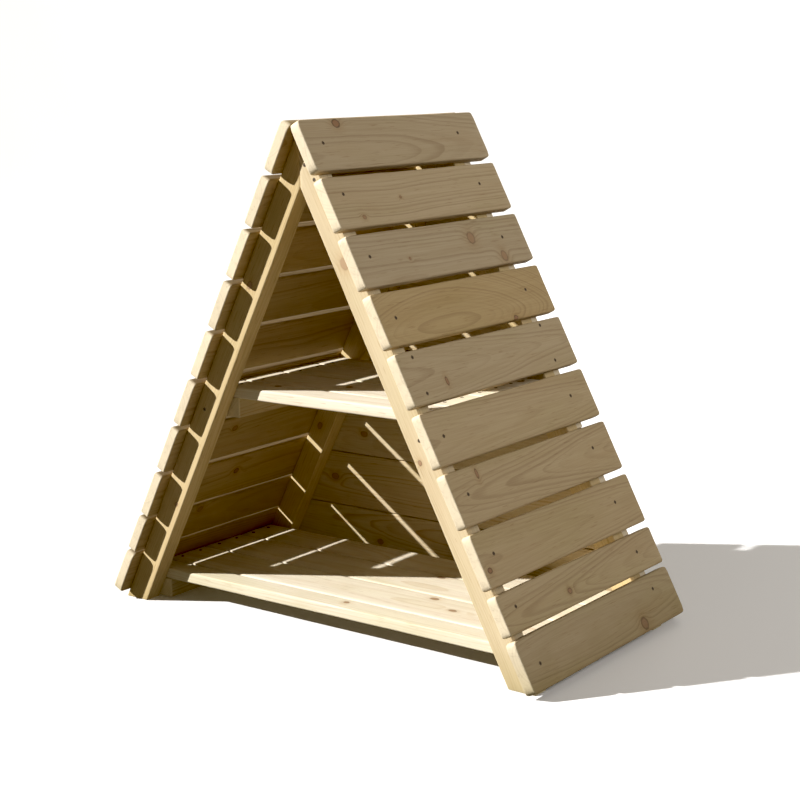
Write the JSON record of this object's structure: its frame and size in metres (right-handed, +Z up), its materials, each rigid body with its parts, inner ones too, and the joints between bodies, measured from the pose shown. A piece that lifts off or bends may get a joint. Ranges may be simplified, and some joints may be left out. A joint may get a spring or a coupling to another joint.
{
  "type": "slatted a-frame den with shelf",
  "caption": "Small softwood A-frame den: slatted sloping sides on leaning rails, a boarded back, an open front, a low floor deck and a shelf halfway up.",
  "frame": {"origin": "middle of the footprint, on the ground plane", "axes": "+Z up; the ridge runs along Y; the open front faces -Y; the two sloping sides face +X and -X"},
  "size_m": [1.0022, 0.53, 0.9521],
  "materials": {
    "cladding": "sawn softwood, pressure treated, dry and unpainted",
    "rails": "sawn softwood, pressure treated",
    "bearers": "sawn softwood, pressure treated",
    "deck": "sawn softwood, pressure treated",
    "shelf": "sawn softwood, pressure treated",
    "wall": "sawn softwood, pressure treated"
  },
  "bodies": {
    "root": {"back_rail_left": "rails", "back_rail_right": "rails", "deck_board_1": "deck", "deck_board_2": "deck", "deck_board_3": "deck", "deck_board_4": "deck", "floor_bearer_left": "bearers", "floor_bearer_right": "bearers", "front_rail_left": "rails", "front_rail_right": "rails", "left_board_01": "cladding", "left_board_02": "cladding", "left_board_03": "cladding", "left_board_04": "cladding", "left_board_05": "cladding", "left_board_06": "cladding", "left_board_07": "cladding", "left_board_08": "cladding", "left_board_09": "cladding", "left_board_10": "cladding", "right_board_01": "cladding", "right_board_02": "cladding", "right_board_03": "cladding", "right_board_04": "cladding", "right_board_05": "cladding", "right_board_06": "cladding", "right_board_07": "cladding", "right_board_08": "cladding", "right_board_09": "cladding", "right_board_10": "cladding", "shelf_bearer_left": "bearers", "shelf_bearer_right": "bearers", "shelf_board_1": "shelf", "shelf_board_2": "shelf", "shelf_board_3": "shelf", "shelf_board_4": "shelf", "wall_board_1": "wall", "wall_board_2": "wall", "wall_board_3": "wall", "wall_board_4": "wall", "wall_board_5": "wall", "wall_board_6": "wall", "wall_board_7": "wall", "wall_board_8": "wall"}
  },
  "joints": []
}
